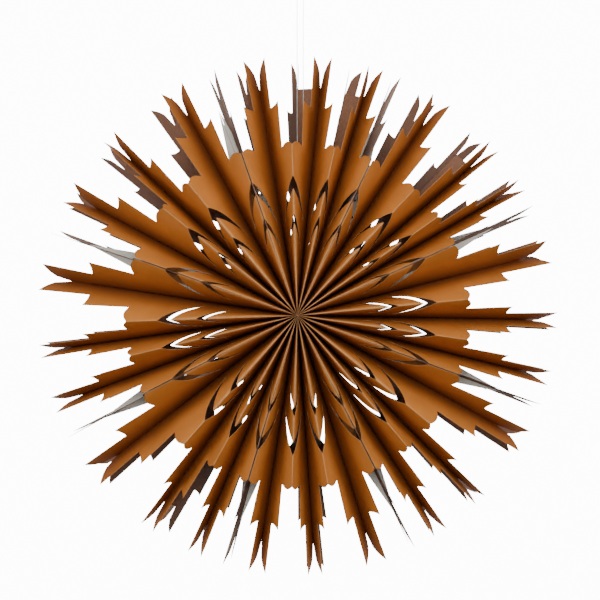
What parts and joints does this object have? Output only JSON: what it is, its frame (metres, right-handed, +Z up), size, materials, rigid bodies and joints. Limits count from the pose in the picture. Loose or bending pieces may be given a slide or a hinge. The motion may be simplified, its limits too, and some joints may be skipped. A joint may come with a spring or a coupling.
{
  "type": "paper snowflake",
  "caption": "Hanging star of pleated copper paper with a staircase cut edge, chevron cut-outs, grey middle leaves and a clear hanging thread",
  "frame": {"origin": "inside of the top of the hanging loop, where a hook carries the star", "axes": "+X right seen from the front, +Z up along the thread, the star's front faces -Y"},
  "size_m": [0.4987, 0.12, 0.5684],
  "materials": {
    "copper_paper": "satin metallic copper card with light tan folds and cut edges",
    "grey_paper": "matte pale grey card",
    "clear_thread": "clear nylon thread"
  },
  "bodies": {
    "root": {"segment_1": "copper_paper", "segment_2": "copper_paper", "segment_3": "copper_paper", "segment_4": "copper_paper", "segment_5": "copper_paper", "segment_6": "copper_paper", "segment_7": "copper_paper", "segment_8": "copper_paper", "joint_sheet_1": "copper_paper", "joint_sheet_2": "copper_paper", "joint_sheet_3": "copper_paper", "joint_sheet_4": "copper_paper", "joint_sheet_5": "copper_paper", "joint_sheet_6": "copper_paper", "joint_sheet_7": "copper_paper", "joint_sheet_8": "copper_paper", "web_1": "grey_paper", "web_2": "grey_paper", "web_3": "grey_paper", "web_4": "grey_paper", "web_5": "grey_paper", "web_6": "grey_paper", "web_7": "grey_paper", "web_8": "grey_paper", "hanging_thread": "clear_thread"}
  },
  "joints": []
}
